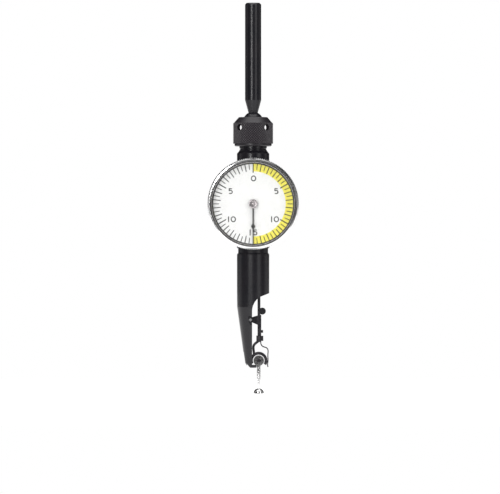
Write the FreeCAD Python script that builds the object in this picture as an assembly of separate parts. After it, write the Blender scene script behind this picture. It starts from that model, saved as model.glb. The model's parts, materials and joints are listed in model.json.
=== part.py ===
"""Dial test indicator, millimetres.

The dial faces -Y, +Z runs up the body to the mounting shank, and the origin is on the axis
of the shank, half way along its parallel part. Sizes called "drop" are measured down from the
centre of the dial, and those called "low" down from the fulcrum of the lever, negative above it.
The body is one 3/8 inch tube with the swivel joint on top, the round movement case on its front
and a cut-away nose below, where the lever works in the open.
"""
import FreeCAD
import Part
import math
import os

INCH = 25.4
V = FreeCAD.Vector

# ---------------------------------------------------------------- shank and ball
shank_radius = INCH * 3 / 32
shank_length = 28.7
shank_end_round = 0.45
shank_taper = 3.7
shank_neck_radius = 1.39
ball_radius = 3.0
ball_below_neck = 2.7

# ---------------------------------------------------------------- body tube
tube_radius = INCH * 3 / 16
neck_radius = 4.05
neck_shown = 1.26
neck_cone_height = 0.9
neck_cone_above_bezel = 1.45
neck_groove_depth = 0.18
neck_groove_half_width = 0.1
neck_groove_above_cone = 0.45
tube_bore_radius = 3.9
tube_bore_above_arbor = 2.54
tube_past_case = 0.7

# ---------------------------------------------------------------- swivel joint
nut_radius = 5.93
nut_top_above_ball = 1.36
nut_flat_radius = 4.1
nut_length = 8.6
nut_bottom_step = 0.45
nut_bottom_step_height = 0.8
nut_bottom_chamfer = 0.25
nut_relief = 0.6
nut_lip_thickness = 0.5
nut_lip_gap = 0.12
nut_wall = 1.3
nut_thread_length = 3.4
thread_chamfer = 0.35
neck_above_thread = 0.75
nut_hole_radius = 0.95
nut_hole_below_ball = 1.7
nut_holes = 4
clamp_ring_height = 0.75
clamp_ring_radius = 3.6
clamp_ring_grip = 0.6
ball_clearance = 0.015
seat_radius = 3.2
seat_height = 2.1
seat_top_below_ball = 2.3
seat_clearance = 0.03
spring_washer_gauge = 0.22
spring_washer_rise = 0.45
spring_washers = 2
washer_gap = 0.15
fit_gap = 0.04

# ---------------------------------------------------------------- case, bezel and dial
wheel_room = 0.608
case_wall = 0.8
case_edge_chamfer = 0.4
case_floor = 0.8
case_back_y = -3.9
case_depth = 4.2
case_screw_low = 4.6
case_screw_high = 8.4
case_screw_share = 0.5
bezel_wall = 1.09
bezel_gap = 0.06
bezel_ledge = 0.26
bezel_bevel = 0.55
bezel_back_chamfer = 0.3
bezel_skirt_length = 2.9
crystal_grip = 0.45
crystal_thickness = 0.7
crystal_lip = 0.4
crystal_above_hand = 0.9
dial_thickness = 0.35
dial_gap = 0.1
dial_hole_radius = 0.9
ring_width = 0.4
ring_depth = 0.4
ring_opening = 5.0

# ---------------------------------------------------------------- gear train
sector_teeth = 300
sector_pinion_teeth = 12
lever_module = 0.182
wheel_teeth = 72
hand_pinion_teeth = 10
hand_module = 0.14
sector_cut_teeth = 9
wheel_addendum = 0.8
wheel_dedendum = 1.0
wheel_tooth_share = 0.42
pinion_addendum = 0.6
pinion_dedendum = 1.1
leaf_tooth_share = 0.36
wheel_thickness = 0.35
pinion_width = 1.1
arbor_radius = 0.35
pivot_radius = 0.22
journal_gap = 0.03

# ---------------------------------------------------------------- movement frame
plate_gap = 0.9
plate_thickness = 0.6
plate_height = 2.2
plate_window_radius = 2.6
plate_window_rise = 0.6
pillar_radius = 0.75
pillar_inset = 1.2
pillar_screw_share = 0.55
pillar_angles = (52, 128, 205, 335)
screw_head_radius = 0.85
screw_head_height = 0.38
screw_slot = 0.22
bridge_thickness = 0.75
bridge_gap = 0.35
bridge_height = 2.4
jewel_radius = 0.65
window_half_width = 2.4
window_above_arbor = 2.34
window_below_arbor = 4.66
hairspring_inner = 0.75
hairspring_pitch = 0.5
hairspring_turns = 4
hairspring_gauge = 0.1
hairspring_width = 0.3
hairspring_above_floor = 0.35
wheel_above_floor = 1.25
wheel_hole_radius = 1.25
wheel_hole_circle = 2.7
wheel_holes = 4
arbor_end_gap = 0.05

# ---------------------------------------------------------------- hand
hand_length = 11.8
hand_width = 0.42
hand_gauge = 0.2
hand_boss_radius = 1.3
hand_boss_height = 0.55
hand_lozenge_drop = 6.6
hand_lozenge_half_width = 0.62
hand_lozenge_half_length = 0.8
hand_above_dial = 0.55

# ---------------------------------------------------------------- nose
nose_groove_radius = 4.42
nose_groove_height = 1.45
nose_shoulder_height = 0.35
nose_bore_radius = 3.3
nose_spigot_length = 2.0
nose_bore_end_low = -4.53
mount_length = 11.35
mount_to_cut = 0.15
mount_relief = 0.05
cut_slope_x = 1.95
cut_slope_low = -6.73
cut_bend_x = 0.32
cut_bend_low = -4.93
cut_face_x = -0.3
cut_face_low = -2.73
toe_x = 1.0
toe_low = 13.37
taper_start_low = -3.73
taper_radius = 2.45
taper_end_low = 12.77
tip_radius = 1.6
tip_low = 14.17
slot_half_width = 1.35
slot_top_low = 6.17
slot_depth_x = -1.8
stem_slot_half_width = 0.78
stem_slot_top_low = 9.57
land_depth = 0.3
land_width = 0.65
land_top_low = -1.1
land_bottom_low = 1.5

# ---------------------------------------------------------------- lever
fulcrum_x = -0.8
fulcrum_pin_radius = 0.4
pin_gap = 0.02
fulcrum_pin_recess = 0.35
ear_radius = 0.8
ear_boss_share = 0.75
ear_slot_gap = 0.12
ear_slot_room = 0.45
ear_top_low = -1.3
ear_bottom_low = 1.6
lever_half_thickness = 0.4
lever_inner_x = 1.3
lever_width = 0.85
lever_bottom_low = 6.27
lever_straight_top_low = -7.53
lever_arm_x = 0.0
lever_arm_half_width = 0.75
lever_arm_low = -21.13
sector_rim = 1.3
sector_neck = 3.2
sector_neck_straight = 0.6
fork_block_height = 1.9
fork_block_lap = 0.35
cheek_inner_y = 0.66
cheek_outer_y = 1.1
fork_arm_width = 0.72
fork_arm_line = ((1.7, 6.27), (0.9, 6.82), (0.22, 7.57), (0.12, 8.87), (0.1, 11.17))
leaf_gauge = 0.25
leaf_top_low = -1.38
tail_gauge = 0.3
tail_gap = 0.02
tail_inner_y = 0.7
tail_outer_y = 1.02
tail_tee_height = 0.75
tail_line = ((0, 6.57), (0.1, 7.32), (0.7, 7.97), (1.35, 8.17), (1.95, 8.57))
tail_end_line = ((0.02, -2.8), (-0.05, -1.6), (0, 0), (-0.12, 1.1), (-0.02, 1.9))
clip_top_low = 4.77
clip_depth = 0.6
leaf_screw_low = 3.47
leaf_screw_radius = 0.42
leaf_screw_height = 0.55
knob_low = -2.53
knob_x = 2.72
knob_radius = 1.03
knob_thickness = 0.6
knob_gap = 0.03
knob_pin_radius = 0.3
knob_lug_half_height = 0.5
knob_washer_thickness = 0.25

# ---------------------------------------------------------------- contact
hub_x = 1.65
hub_low = 12.07
hub_ring_radius = 2.58
hub_ring_inner = 1.72
hub_ring_open_from = 205
hub_ring_open_to = 328
hub_radius = 1.55
hub_half_width = 1.22
hub_screw_radius = 0.62
hub_screw_proud = 0.1
hub_screw_depth = 0.4
stem_radius = 0.6
stem_tip_radius = 0.42
stem_tip_length = 0.9
contact_length = 9.7
contact_ball_radius = 1.55

# ---------------------------------------------------------------- places that follow
hand_centre_distance = hand_module * (wheel_teeth + hand_pinion_teeth) / 2
lever_centre_distance = lever_module * (sector_teeth + sector_pinion_teeth) / 2
arbor_drop = hand_centre_distance
fulcrum_drop = arbor_drop + math.sqrt(lever_centre_distance ** 2 - fulcrum_x ** 2)
wheel_tip_radius = hand_module * (wheel_teeth / 2 + wheel_addendum)

case_bore = arbor_drop + wheel_tip_radius + wheel_room
case_radius = case_bore + case_wall
bezel_bore = case_radius + bezel_gap
bezel_radius = bezel_bore + bezel_wall
bezel_opening_radius = bezel_bore - bezel_ledge
crystal_radius = bezel_opening_radius + crystal_grip
plate_radius = case_bore - plate_gap
pillar_circle = plate_radius - pillar_inset

neck_cone_bottom = bezel_radius + neck_cone_above_bezel
neck_cone_top = neck_cone_bottom + neck_cone_height
ball_above_dial = neck_cone_top + neck_shown + nut_length - nut_top_above_ball
ball_z = -(shank_length / 2 + shank_taper + ball_below_neck)
dial_z = ball_z - ball_above_dial
nut_top_z = ball_z + nut_top_above_ball
nut_bottom_z = nut_top_z - nut_length
neck_top_z = nut_bottom_z + nut_thread_length + neck_above_thread
seat_top_z = ball_z - seat_top_below_ball
washer_step = spring_washer_rise + spring_washer_gauge / 2

floor_y = case_back_y - case_floor
case_front_y = case_back_y - case_depth
dial_back_y = case_front_y - dial_gap
dial_front_y = dial_back_y - dial_thickness
hand_back_y = dial_front_y - hand_above_dial
crystal_back_y = hand_back_y - hand_boss_height - crystal_above_hand
bezel_front_y = crystal_back_y - crystal_thickness - crystal_lip
bezel_back_y = case_front_y + bezel_skirt_length
plate_back_y = floor_y - plate_height
plate_front_y = plate_back_y - plate_thickness
wheel_back_y = floor_y - wheel_above_floor
wheel_front_y = wheel_back_y - wheel_thickness
bridge_front_y = lever_half_thickness + bridge_gap

tube_end_drop = case_radius + tube_past_case
nose_groove_end_drop = tube_end_drop + nose_groove_height
nose_shoulder_drop = nose_groove_end_drop + nose_shoulder_height
mount_end_drop = nose_shoulder_drop + mount_length
cut_start_drop = mount_end_drop + mount_to_cut
lever_outer_x = lever_inner_x + lever_width


def drop(distance):
    """Height of a point given by its distance below the dial centre."""
    return dial_z - distance


def low(distance):
    """Height of a point given by its distance below the fulcrum."""
    return drop(fulcrum_drop + distance)


# ---------------------------------------------------------------- shapes that repeat
def box(x0, x1, y0, y1, z0, z1):
    return Part.makeBox(x1 - x0, y1 - y0, z1 - z0, V(x0, y0, z0))


def rod_z(radius, z0, z1, x=0.0, y=0.0):
    return Part.makeCylinder(radius, z1 - z0, V(x, y, z0), V(0, 0, 1))


def rod_y(radius, y0, y1, x=0.0, z=0.0):
    return Part.makeCylinder(radius, y1 - y0, V(x, y0, z), V(0, 1, 0))


def turned_z(profile):
    """Solid turned about the tube axis from (radius, height) points."""
    points = [V(radius, 0, height) for radius, height in profile]
    face = Part.Face(Part.makePolygon(points + points[:1]))
    return face.revolve(V(0, 0, 0), V(0, 0, 1), 360)


def turned_y(profile, x=0.0, z=0.0):
    """Solid turned about an axis along Y through (x, z) from (radius, y) points."""
    points = [V(x + radius, y, z) for radius, y in profile]
    face = Part.Face(Part.makePolygon(points + points[:1]))
    return face.revolve(V(x, 0, z), V(0, 1, 0), 360)


def plate(points, y0, y1):
    """Flat plate between y0 and y1 with a straight-sided outline of (x, z) points."""
    corners = [V(x, y0, z) for x, z in points]
    face = Part.Face(Part.makePolygon(corners + corners[:1]))
    return face.extrude(V(0, y1 - y0, 0))


def ribbon(centre_line, width, y0, y1):
    """Bent strip of even width between y0 and y1 that follows a smooth line of (x, z) points."""
    line = Part.BSplineCurve()
    line.interpolate([V(x, y0, z) for x, z in centre_line])
    sides = [[], []]
    steps = 2 * len(centre_line)
    for step in range(steps + 1):
        parameter = line.FirstParameter + (line.LastParameter - line.FirstParameter) * step / steps
        point = line.value(parameter)
        along = line.tangent(parameter)[0]
        across = V(-along.z, 0, along.x)
        sides[0].append(point + across * (width / 2))
        sides[1].append(point - across * (width / 2))
    edges = []
    for side in sides:
        curve = Part.BSplineCurve()
        curve.interpolate(side)
        edges.append(curve.toShape())
    edges.append(Part.makeLine(sides[0][0], sides[1][0]))
    edges.append(Part.makeLine(sides[0][-1], sides[1][-1]))
    wire = Part.Wire(Part.__sortEdges__(edges))
    return Part.Face(wire).extrude(V(0, y1 - y0, 0))


def gear_outline(teeth, module, thickness, tip, root, turn, cut_teeth=0):
    """Outline of a gear about (0, 0), or of cut_teeth teeth around the turn."""
    pitch_radius = teeth * module / 2
    pitch = 2 * math.pi / teeth
    shown = cut_teeth or teeth
    first = -(shown // 2) if cut_teeth else 0
    levels = (
        (pitch_radius - root * module, -0.66),
        (pitch_radius + tip * module, -0.26),
        (pitch_radius + tip * module, 0.26),
        (pitch_radius - root * module, 0.66),
    )
    points = []
    for number in range(shown):
        centre = turn + (first + number) * pitch
        for radius, share in levels:
            angle = centre + share * thickness * pitch
            points.append((radius * math.cos(angle), radius * math.sin(angle)))
    return points


def slotted_screw(x, z, y_head_back, shaft_radius, y_end):
    """Cheese-head screw along Y with its head in front of y_head_back."""
    front = y_head_back - screw_head_height
    screw = rod_y(screw_head_radius, front, y_head_back, x, z)
    screw = screw.fuse(rod_y(shaft_radius, y_head_back, y_end, x, z))
    slot = box(x - screw_head_radius, x + screw_head_radius, front, front + screw_head_height / 2,
               z - screw_slot / 2, z + screw_slot / 2)
    return screw.cut(slot)


def spherical_cut(radius):
    return Part.makeSphere(radius, V(0, 0, ball_z))


# ---------------------------------------------------------------- swivel joint
def swivel_shank():
    top = shank_length / 2
    profile = [
        (0, top), (shank_radius - shank_end_round, top), (shank_radius, top - shank_end_round),
        (shank_radius, -top), (shank_neck_radius, -top - shank_taper),
        (shank_neck_radius, ball_z), (0, ball_z),
    ]
    return turned_z(profile).fuse(Part.makeSphere(ball_radius, V(0, 0, ball_z))).removeSplitter()


def swivel_nut():
    inner = nut_radius - nut_wall
    ring_top = nut_top_z - nut_lip_thickness
    ring_bottom = ring_top - clamp_ring_height
    chamfer = nut_radius - nut_flat_radius
    step_radius = nut_radius - nut_bottom_step
    thread_top = nut_bottom_z + nut_thread_length
    lip = math.sqrt(ball_radius ** 2 - (ring_top - ball_z) ** 2) + nut_lip_gap
    bore = neck_radius + fit_gap
    profile = [
        (lip, nut_top_z), (nut_flat_radius, nut_top_z), (nut_radius, nut_top_z - chamfer),
        (nut_radius, nut_bottom_z + nut_bottom_step_height),
        (step_radius, nut_bottom_z + nut_bottom_step_height),
        (step_radius, nut_bottom_z + nut_bottom_chamfer),
        (step_radius - nut_bottom_chamfer, nut_bottom_z), (bore, nut_bottom_z), (bore, thread_top),
        (inner, thread_top + inner - bore), (inner, ring_bottom - nut_relief),
        (clamp_ring_radius + fit_gap, ring_bottom), (clamp_ring_radius + fit_gap, ring_top),
        (lip, ring_top),
    ]
    nut = turned_z(profile)
    for number in range(nut_holes):
        angle = 2 * math.pi * (number + 0.5) / nut_holes
        outward = V(math.cos(angle), math.sin(angle), 0)
        start = V(0, 0, ball_z - nut_hole_below_ball) + outward * (inner - nut_hole_radius)
        nut = nut.cut(Part.makeCylinder(nut_hole_radius, nut_radius, start, outward))
    return nut


def clamp_ring():
    top = nut_top_z - nut_lip_thickness
    inner = ball_radius - clamp_ring_grip
    ring = rod_z(clamp_ring_radius, top - clamp_ring_height, top)
    ring = ring.cut(rod_z(inner, top - clamp_ring_height, top))
    return ring.cut(spherical_cut(ball_radius + ball_clearance))


def ball_seat():
    seat = rod_z(seat_radius, seat_top_z - seat_height, seat_top_z)
    return seat.cut(spherical_cut(ball_radius + ball_clearance))


def seat_spring():
    """Pair of coned washers under the ball seat, set base to base."""
    top = seat_top_z - seat_height
    outer = seat_radius - washer_gap
    inner = outer / 2
    gauge = spring_washer_gauge
    washers = []
    for number in range(spring_washers):
        base = top - (number + 1) * washer_step
        rise = spring_washer_rise - gauge / 2
        if number % 2 == 0:
            inner_z, outer_z = base + rise, base
        else:
            inner_z, outer_z = base, base + rise
        washers.append(turned_z([(inner, inner_z), (outer, outer_z),
                                 (outer, outer_z + gauge), (inner, inner_z + gauge)]))
    return Part.makeCompound(washers)


# ---------------------------------------------------------------- body
def body_tube():
    seat_bore = seat_radius + seat_clearance
    bore_floor = seat_top_z - seat_height - spring_washers * washer_step - seat_clearance
    groove_z = dial_z + neck_cone_top + neck_groove_above_cone
    groove_radius = neck_radius - neck_groove_depth
    groove_mouth = neck_groove_half_width + neck_groove_depth
    profile = [
        (0, bore_floor), (seat_bore, bore_floor), (seat_bore, neck_top_z),
        (neck_radius - thread_chamfer, neck_top_z), (neck_radius, neck_top_z - thread_chamfer),
        (neck_radius, groove_z + groove_mouth), (groove_radius, groove_z + neck_groove_half_width),
        (groove_radius, groove_z - neck_groove_half_width), (neck_radius, groove_z - groove_mouth),
        (neck_radius, dial_z + neck_cone_top), (tube_radius, dial_z + neck_cone_bottom),
        (tube_radius, drop(tube_end_drop)), (0, drop(tube_end_drop)),
    ]
    tube = turned_z(profile)
    bore_top = drop(arbor_drop - tube_bore_above_arbor)
    tube = tube.cut(rod_z(tube_bore_radius, drop(tube_end_drop), bore_top))
    tube = tube.cut(rod_y(case_radius, -2 * tube_radius, case_back_y, 0, dial_z))
    return tube.cut(movement_window())


def movement_window():
    return box(-window_half_width, window_half_width, floor_y, 0,
               drop(arbor_drop + window_below_arbor), drop(arbor_drop - window_above_arbor))


def nose_profile():
    spigot_top = drop(tube_end_drop - nose_spigot_length)
    joint = drop(tube_end_drop)
    return [
        (0, spigot_top), (tube_bore_radius, spigot_top), (tube_bore_radius, joint),
        (nose_groove_radius, joint), (nose_groove_radius, drop(nose_groove_end_drop)),
        (tube_radius, drop(nose_shoulder_drop)), (tube_radius, drop(mount_end_drop)),
        (tube_radius - mount_relief, low(taper_start_low)),
        (taper_radius, low(taper_end_low)), (tip_radius, low(tip_low)), (0, low(tip_low)),
    ]


def nose_cut_away():
    """Block right of the open side of the nose: a slope, a cutter radius, a long flat and a toe."""
    far = 2 * tube_radius
    bottom = low(tip_low) - far
    arc = Part.Arc(V(cut_slope_x, -far, low(cut_slope_low)),
                   V(cut_bend_x, -far, low(cut_bend_low)),
                   V(cut_face_x, -far, low(cut_face_low))).toShape()
    after_arc = [(cut_face_x, low(cut_face_low)), (cut_face_x, low(toe_low)),
                 (toe_x, low(toe_low)), (toe_x, bottom), (far, bottom),
                 (far, drop(cut_start_drop)), (tube_radius, drop(cut_start_drop)),
                 (cut_slope_x, low(cut_slope_low))]
    corners = [V(x, -far, z) for x, z in after_arc]
    outline = Part.Wire([arc] + Part.makePolygon(corners).Edges)
    return Part.Face(outline).extrude(V(0, 2 * far, 0))


def nose_barrel():
    nose = turned_z(nose_profile())
    nose = nose.cut(rod_z(nose_bore_radius, low(nose_bore_end_low), dial_z))
    nose = nose.cut(nose_cut_away())
    far = 2 * tube_radius
    bottom = low(tip_low) - far
    hub_slot = box(slot_depth_x, far, -slot_half_width, slot_half_width, bottom, low(slot_top_low))
    stem_slot = box(-far, far, -stem_slot_half_width, stem_slot_half_width,
                    bottom, low(stem_slot_top_low))
    ear_slot = lever_half_thickness + ear_slot_gap
    ear_gap = box(fulcrum_x - ear_radius - ear_slot_room, far, -ear_slot, ear_slot,
                  low(ear_bottom_low), low(ear_top_low - ear_slot_room))
    nose = nose.cut(hub_slot).cut(stem_slot).cut(ear_gap)
    nose = nose.cut(rod_y(fulcrum_pin_radius, -far, far, fulcrum_x, low(0)))
    land = box(fulcrum_x - land_width, far, -far, land_depth - nose_radius_at_fulcrum(),
               low(land_bottom_low), low(land_top_low))
    return nose.cut(land)


def nose_radius_at_fulcrum():
    start = tube_radius - mount_relief
    return start + (taper_radius - start) * taper_start_low / (taper_start_low - taper_end_low)


def fulcrum_pin():
    reach = nose_radius_at_fulcrum() - fulcrum_pin_recess
    return rod_y(fulcrum_pin_radius, -reach, reach, fulcrum_x, low(0))


# ---------------------------------------------------------------- case and movement frame
def dial_case():
    groove_y = bezel_ring_y()
    groove_floor = case_radius - ring_depth / 2 - fit_gap
    profile = [
        (0, case_back_y), (case_radius - case_edge_chamfer, case_back_y),
        (case_radius, case_back_y - case_edge_chamfer),
        (case_radius, groove_y + ring_width / 2 + fit_gap),
        (groove_floor, groove_y + ring_width / 2 + fit_gap),
        (groove_floor, groove_y - ring_width / 2 - fit_gap),
        (case_radius, groove_y - ring_width / 2 - fit_gap), (case_radius, case_front_y),
        (case_bore, case_front_y), (case_bore, floor_y), (0, floor_y),
    ]
    case = turned_y(profile, 0, dial_z)
    case = case.cut(movement_window())
    case = case.cut(rod_y(pivot_radius + journal_gap, floor_y, case_back_y, 0, dial_z))
    for x, z in case_screw_places():
        case = case.cut(rod_y(screw_head_radius * case_screw_share, floor_y, case_back_y, x, z))
    return case


def case_screw_places():
    return [(0, dial_z + case_screw_low), (0, dial_z + case_screw_high)]


def case_screws():
    shaft = screw_head_radius * case_screw_share
    return Part.makeCompound([slotted_screw(x, z, floor_y, shaft, case_back_y)
                              for x, z in case_screw_places()])


def pillar_places():
    places = []
    for angle in pillar_angles:
        turn = math.radians(angle)
        places.append((pillar_circle * math.cos(turn), dial_z + pillar_circle * math.sin(turn)))
    return places


def plate_pillars():
    return Part.makeCompound([rod_y(pillar_radius, plate_back_y, floor_y, x, z)
                              for x, z in pillar_places()])


def plate_screws():
    shaft = pillar_radius * pillar_screw_share
    return Part.makeCompound([slotted_screw(x, z, plate_front_y, shaft, plate_back_y)
                              for x, z in pillar_places()])


def movement_plate():
    """Front bearing plate, cut back at both sides of the wheel."""
    body = rod_y(plate_radius, plate_front_y, plate_back_y, 0, dial_z)
    for x, z in pillar_places():
        body = body.cut(rod_y(pillar_radius * pillar_screw_share, plate_front_y, plate_back_y, x, z))
    for side in (-1, 1):
        body = body.cut(rod_y(plate_window_radius, plate_front_y, plate_back_y,
                              side * plate_radius / 2, dial_z + plate_window_rise))
    for x, z in bearing_places():
        body = body.cut(rod_y(jewel_radius, plate_front_y, plate_back_y, x, z))
    return body


def bearing_places():
    return [(0, dial_z), (0, drop(arbor_drop))]


def bearing_jewels():
    """Two ring jewels in the movement plate: for the hand arbor and for the wheel arbor."""
    jewels = []
    for (x, z), journal in zip(bearing_places(), (arbor_radius, pivot_radius)):
        jewel = rod_y(jewel_radius, plate_front_y, plate_back_y, x, z)
        jewels.append(jewel.cut(rod_y(journal + journal_gap, plate_front_y, plate_back_y, x, z)))
    return Part.makeCompound(jewels)


def train_bridge():
    """Bar across the tube bore that carries the rear end of the wheel arbor."""
    centre = drop(arbor_drop)
    bar = box(-tube_bore_radius, tube_bore_radius, bridge_front_y, bridge_front_y + bridge_thickness,
              centre - bridge_height / 2, centre + bridge_height / 2)
    bar = bar.common(rod_z(tube_bore_radius, centre - bridge_height, centre + bridge_height))
    return bar.cut(rod_y(pivot_radius + journal_gap, bridge_front_y,
                         bridge_front_y + bridge_thickness, 0, centre))


def hairspring():
    """Flat spiral between the hand arbor and the case floor."""
    back = floor_y - hairspring_above_floor
    steps = 16 * hairspring_turns
    sides = []
    for side in (-0.5, 0.5):
        points = []
        for step in range(steps + 1):
            turn = 2 * math.pi * hairspring_turns * step / steps
            radius = hairspring_inner + hairspring_pitch * turn / (2 * math.pi) + side * hairspring_gauge
            points.append((radius * math.cos(turn), dial_z + radius * math.sin(turn)))
        sides.append(points)
    return plate(sides[0] + sides[1][::-1], back - hairspring_width, back)


# ---------------------------------------------------------------- bezel group
def bezel_ring_y():
    return (bezel_back_y + case_front_y) / 2


def bezel():
    groove_y = bezel_ring_y()
    groove_top = case_radius + ring_depth / 2 + fit_gap
    crystal_front = bezel_front_y + crystal_lip
    crystal_back = crystal_front + crystal_thickness
    profile = [
        (bezel_opening_radius, bezel_front_y), (bezel_radius - bezel_bevel, bezel_front_y),
        (bezel_radius, bezel_front_y + bezel_bevel), (bezel_radius, bezel_back_y - bezel_back_chamfer),
        (bezel_radius - bezel_back_chamfer, bezel_back_y), (bezel_bore, bezel_back_y),
        (bezel_bore, groove_y + ring_width / 2 + fit_gap),
        (groove_top, groove_y + ring_width / 2 + fit_gap),
        (groove_top, groove_y - ring_width / 2 - fit_gap),
        (bezel_bore, groove_y - ring_width / 2 - fit_gap),
        (bezel_bore, dial_front_y), (bezel_opening_radius, dial_front_y),
        (bezel_opening_radius, crystal_back), (crystal_radius, crystal_back),
        (crystal_radius, crystal_front), (bezel_opening_radius, crystal_front),
    ]
    return turned_y(profile, 0, dial_z)


def bezel_spring():
    """Open spring ring that rides half in the case groove and half in the bezel groove."""
    y = bezel_ring_y()
    ring = rod_y(case_radius + ring_depth / 2, y - ring_width / 2, y + ring_width / 2, 0, dial_z)
    ring = ring.cut(rod_y(case_radius - ring_depth / 2, y - ring_width / 2, y + ring_width / 2, 0, dial_z))
    return ring.cut(box(-ring_opening / 2, ring_opening / 2, y - ring_width, y + ring_width,
                        dial_z, dial_z + 2 * case_radius))


def crystal():
    front = bezel_front_y + crystal_lip
    return rod_y(crystal_radius, front, front + crystal_thickness, 0, dial_z)


def dial_face():
    face = rod_y(case_radius + bezel_gap / 2, dial_front_y, dial_back_y, 0, dial_z)
    return face.cut(rod_y(dial_hole_radius, dial_front_y, dial_back_y, 0, dial_z))


# ---------------------------------------------------------------- gear train
def shifted(points, x, z):
    return [(x + dx, z + dz) for dx, dz in points]


def train_wheel():
    z = drop(arbor_drop)
    outline = gear_outline(wheel_teeth, hand_module, wheel_tooth_share, wheel_addendum,
                           wheel_dedendum, math.pi / 2)
    wheel = plate(shifted(outline, 0, z), wheel_front_y, wheel_back_y)
    wheel = wheel.cut(rod_y(arbor_radius, wheel_front_y, wheel_back_y, 0, z))
    for number in range(wheel_holes):
        turn = 2 * math.pi * (number + 0.5) / wheel_holes
        wheel = wheel.cut(rod_y(wheel_hole_radius, wheel_front_y, wheel_back_y,
                                wheel_hole_circle * math.cos(turn),
                                z + wheel_hole_circle * math.sin(turn)))
    return wheel


def pinion_outline(teeth, module):
    """Pinion whose tooth gap points straight down."""
    return gear_outline(teeth, module, leaf_tooth_share, pinion_addendum, pinion_dedendum,
                        -math.pi / 2 + math.pi / teeth)


def train_pinion():
    """Wheel arbor with the pinion that the lever sector drives."""
    z = drop(arbor_drop)
    outline = pinion_outline(sector_pinion_teeth, lever_module)
    back = bridge_front_y - 2 * arbor_end_gap
    pinion = plate(shifted(outline, 0, z), back - pinion_width, back)
    arbor = rod_y(arbor_radius, plate_back_y + arbor_end_gap, bridge_front_y - arbor_end_gap, 0, z)
    pivots = rod_y(pivot_radius, plate_front_y + arbor_end_gap,
                   bridge_front_y + bridge_thickness - arbor_end_gap, 0, z)
    return pinion.fuse([arbor, pivots])


def hand_pinion():
    outline = pinion_outline(hand_pinion_teeth, hand_module)
    middle = (wheel_back_y + wheel_front_y) / 2
    pinion = plate(shifted(outline, 0, dial_z), middle - pinion_width / 2, middle + pinion_width / 2)
    shoulder = floor_y - arbor_end_gap
    arbor = rod_y(arbor_radius, hand_back_y - hand_gauge, shoulder, 0, dial_z)
    pivot = rod_y(pivot_radius, shoulder, case_back_y - arbor_end_gap, 0, dial_z)
    return pinion.fuse([arbor, pivot])


def hand():
    """Needle pointing straight down, with its lozenge and pressed boss."""
    front = hand_back_y - hand_gauge
    half = hand_width / 2
    lozenge_z = drop(hand_lozenge_drop)
    bottom = lozenge_z - hand_lozenge_half_length
    top = lozenge_z + hand_lozenge_half_length
    needle = [(-half, dial_z), (-half, top), (-hand_lozenge_half_width, lozenge_z), (-half, bottom),
              (-half / 2, drop(hand_length)), (half / 2, drop(hand_length)), (half, bottom),
              (hand_lozenge_half_width, lozenge_z), (half, top), (half, dial_z)]
    blade = plate(needle, front, hand_back_y)
    boss = rod_y(hand_boss_radius, hand_back_y - hand_boss_height, hand_back_y, 0, dial_z)
    return blade.fuse(boss).cut(rod_y(arbor_radius, front, hand_back_y, 0, dial_z))


# ---------------------------------------------------------------- lever
def lever_bar():
    """Plate with the ear at the fulcrum, the knob lug and the long arm up to the sector."""
    half = lever_half_thickness
    left = lever_arm_x - lever_arm_half_width
    right = lever_arm_x + lever_arm_half_width
    bar = plate([
        (lever_inner_x, low(lever_bottom_low)), (lever_outer_x, low(lever_bottom_low)),
        (lever_outer_x, low(lever_straight_top_low)), (right, low(lever_arm_low)),
        (right, sector_plate_bottom()), (left, sector_plate_bottom()),
        (left, low(lever_arm_low)), (lever_inner_x, low(lever_straight_top_low)),
    ], -half, half)
    boss_radius = ear_radius * ear_boss_share
    root_x = lever_inner_x + lever_width / 4
    ear = plate([(root_x, low(ear_top_low)), (fulcrum_x, low(0) + boss_radius),
                 (fulcrum_x, low(0) - boss_radius), (root_x, low(ear_bottom_low))], -half, half)
    boss = rod_y(boss_radius, -half, half, fulcrum_x, low(0))
    knob_z = low(knob_low)
    lug = rod_y(2 * knob_pin_radius, -half, half, knob_x, knob_z)
    lug_web = box(lever_outer_x - lever_width / 4, knob_x, -half, half,
                  knob_z - knob_lug_half_height, knob_z + knob_lug_half_height)
    bar = bar.fuse([ear, boss, lug, lug_web])
    bar = bar.cut(rod_y(fulcrum_pin_radius + pin_gap, -half, half, fulcrum_x, low(0)))
    bar = bar.cut(rod_y(knob_pin_radius + pin_gap, -half, half, knob_x, knob_z))
    return bar.removeSplitter()


def sector_plate_bottom():
    return low(0) + lever_module * sector_teeth / 2 - sector_neck


def lever_sector():
    """Toothed arc on the upper end of the lever, with the neck that joins it to the arm."""
    radius = lever_module * sector_teeth / 2
    direction = math.atan2(fulcrum_drop - arbor_drop, -fulcrum_x)
    outline = gear_outline(sector_teeth, lever_module, wheel_tooth_share, wheel_addendum,
                           wheel_dedendum, direction, sector_cut_teeth)
    span = sector_cut_teeth * math.pi / sector_teeth
    inner = radius - sector_rim
    arc_left = (inner * math.cos(direction + span), inner * math.sin(direction + span))
    arc_right = (inner * math.cos(direction - span), inner * math.sin(direction - span))
    root = sector_plate_bottom()
    left = lever_arm_x - lever_arm_half_width
    right = lever_arm_x + lever_arm_half_width
    points = shifted(outline + [arc_left], fulcrum_x, low(0))
    points += [(left, root + sector_neck_straight), (left, root),
               (right, root), (right, root + sector_neck_straight)]
    points += shifted([arc_right], fulcrum_x, low(0))
    return plate(points, -lever_half_thickness, lever_half_thickness)


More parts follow.
